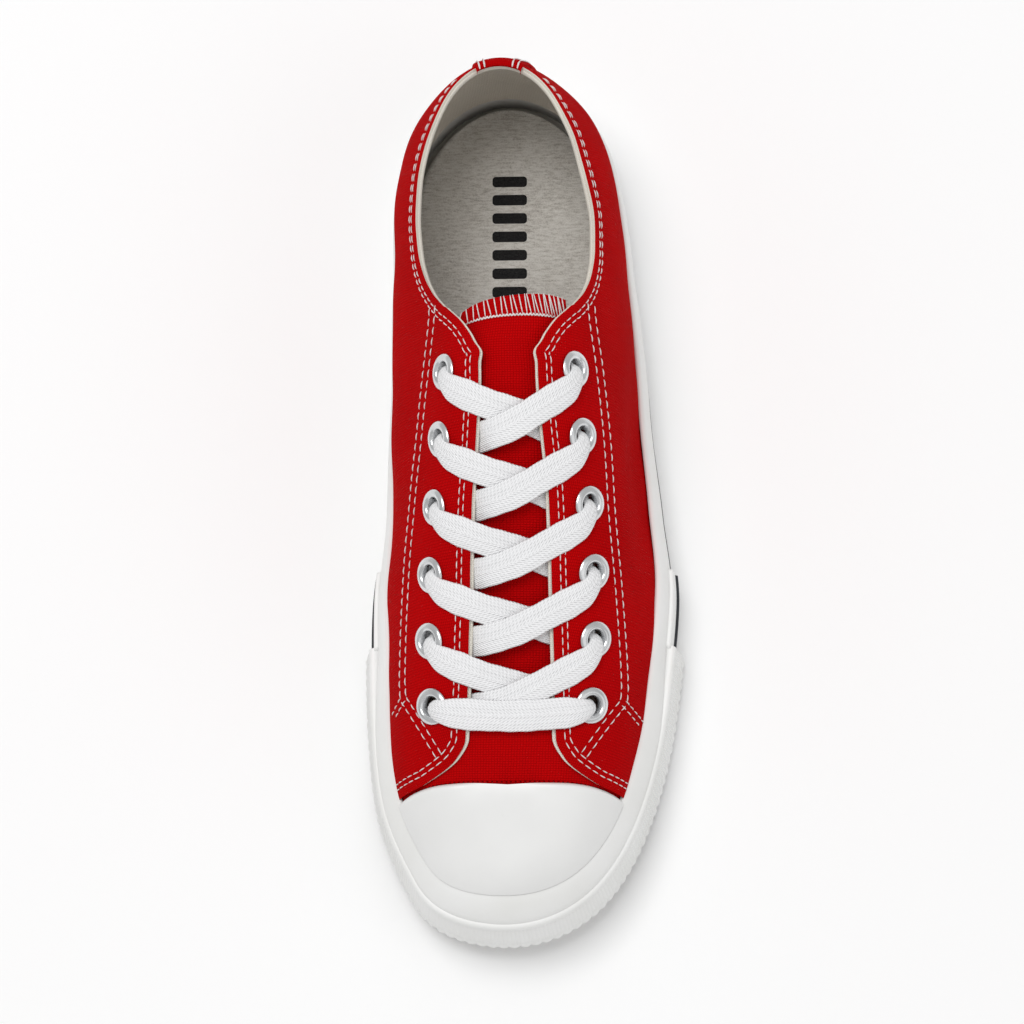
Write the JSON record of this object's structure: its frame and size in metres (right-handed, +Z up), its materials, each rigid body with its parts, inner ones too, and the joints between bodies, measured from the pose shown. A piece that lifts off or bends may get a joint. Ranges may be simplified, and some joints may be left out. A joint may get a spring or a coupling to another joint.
{
  "type": "canvas sneaker",
  "caption": "Low-cut left canvas sneaker, red cloth upper on a white rubber sole with toe cap, toe bumper, metal eyelets and flat white crossed laces.",
  "frame": {"origin": "on the ground, under the middle of the sole's outline", "axes": "+Z up, toe towards -Y, heel towards +Y, outer side of the foot towards +X"},
  "size_m": [0.0954, 0.2666, 0.0909],
  "materials": {
    "red_canvas": "woven canvas, matt",
    "white_rubber": "smooth, satin",
    "sole_gum": "moulded, matt",
    "insole_cloth": "heathered cloth, matt",
    "white_cotton": "flat braid, matt",
    "eyelet_metal": "polished"
  },
  "bodies": {
    "root": {"eyelet_lateral_1": "eyelet_metal", "eyelet_lateral_2": "eyelet_metal", "eyelet_lateral_3": "eyelet_metal", "eyelet_lateral_4": "eyelet_metal", "eyelet_lateral_5": "eyelet_metal", "eyelet_lateral_6": "eyelet_metal", "eyelet_medial_1": "eyelet_metal", "eyelet_medial_2": "eyelet_metal", "eyelet_medial_3": "eyelet_metal", "eyelet_medial_4": "eyelet_metal", "eyelet_medial_5": "eyelet_metal", "eyelet_medial_6": "eyelet_metal", "forefoot_strip": "white_rubber", "foxing": "white_rubber", "heel_strip": "red_canvas", "insole": "insole_cloth", "lace_bar": "white_cotton", "lace_cross_1": "white_cotton", "lace_cross_2": "white_cotton", "lace_cross_3": "white_cotton", "lace_cross_4": "white_cotton", "lace_cross_5": "white_cotton", "outsole": "sole_gum", "toe_bumper": "white_rubber", "toe_cap": "white_rubber", "tongue": "red_canvas", "upper": "red_canvas"}
  },
  "joints": []
}
